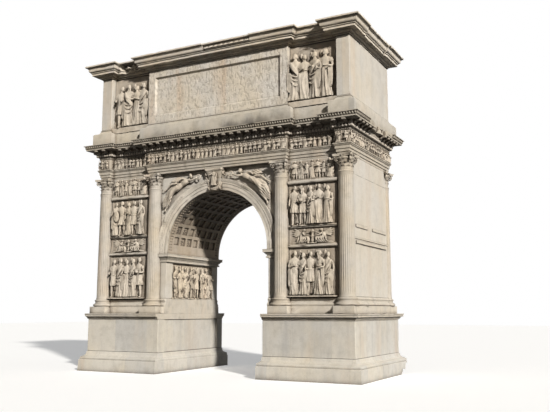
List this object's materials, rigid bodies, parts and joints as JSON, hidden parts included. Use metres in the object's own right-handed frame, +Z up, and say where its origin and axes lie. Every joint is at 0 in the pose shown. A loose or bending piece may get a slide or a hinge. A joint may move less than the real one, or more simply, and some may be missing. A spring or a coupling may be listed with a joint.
{
  "type": "triumphal arch",
  "caption": "Roman triumphal arch in weathered marble, with a coffered passage, fluted corner and inner columns, relief slabs, a bracketed cornice and an attic.",
  "frame": {"origin": "ground level under the middle of the passage", "axes": "+Z up, +X along the front, Y through the passage, the front faces -Y"},
  "size_m": [15.26, 6.56, 15.6],
  "materials": {
    "podium_marble": "large smooth blocks, grey and ochre streaks, chipped joints",
    "wall_marble": "smooth ashlar blocks, weathered",
    "moulded_marble": "carved mouldings, worn edges",
    "column_marble": "fluted and carved, worn edges",
    "relief_marble": "carved reliefs, dark in the hollows",
    "vault_marble": "coffered, sooty and brownish",
    "cornice_marble": "carved, grey and black grime under the edges",
    "roof_stone": "weathered flags"
  },
  "bodies": {
    "root": {"arch_wall": "wall_marble", "architrave": "relief_marble", "archivolt_back": "moulded_marble", "archivolt_front": "moulded_marble", "attic": "wall_marble", "attic_base": "wall_marble", "attic_cornice": "cornice_marble", "attic_reliefs_back": "relief_marble", "attic_reliefs_front": "relief_marble", "attic_roof": "roof_stone", "capitals_back": "column_marble", "capitals_front": "column_marble", "column_bases_back": "column_marble", "column_bases_front": "column_marble", "column_shafts_back": "column_marble", "column_shafts_front": "column_marble", "cornice_bed": "cornice_marble", "end_strings_left": "moulded_marble", "end_strings_right": "moulded_marble", "frieze": "relief_marble", "impost_left": "moulded_marble", "impost_right": "moulded_marble", "inscription_panel_back": "wall_marble", "inscription_panel_front": "wall_marble", "keystone_back": "relief_marble", "keystone_front": "relief_marble", "main_cornice": "cornice_marble", "modillions": "cornice_marble", "passage_relief_left": "relief_marble", "passage_relief_right": "relief_marble", "pier_base_left": "moulded_marble", "pier_base_right": "moulded_marble", "pier_left": "wall_marble", "pier_right": "wall_marble", "podium_base_left": "podium_marble", "podium_base_right": "podium_marble", "podium_cornice_left": "moulded_marble", "podium_cornice_right": "moulded_marble", "podium_left": "podium_marble", "podium_right": "podium_marble", "vault_coffering": "vault_marble", "wall_ledges_back": "moulded_marble", "wall_ledges_front": "moulded_marble", "wall_reliefs_back": "relief_marble", "wall_reliefs_front": "relief_marble"}
  },
  "joints": []
}
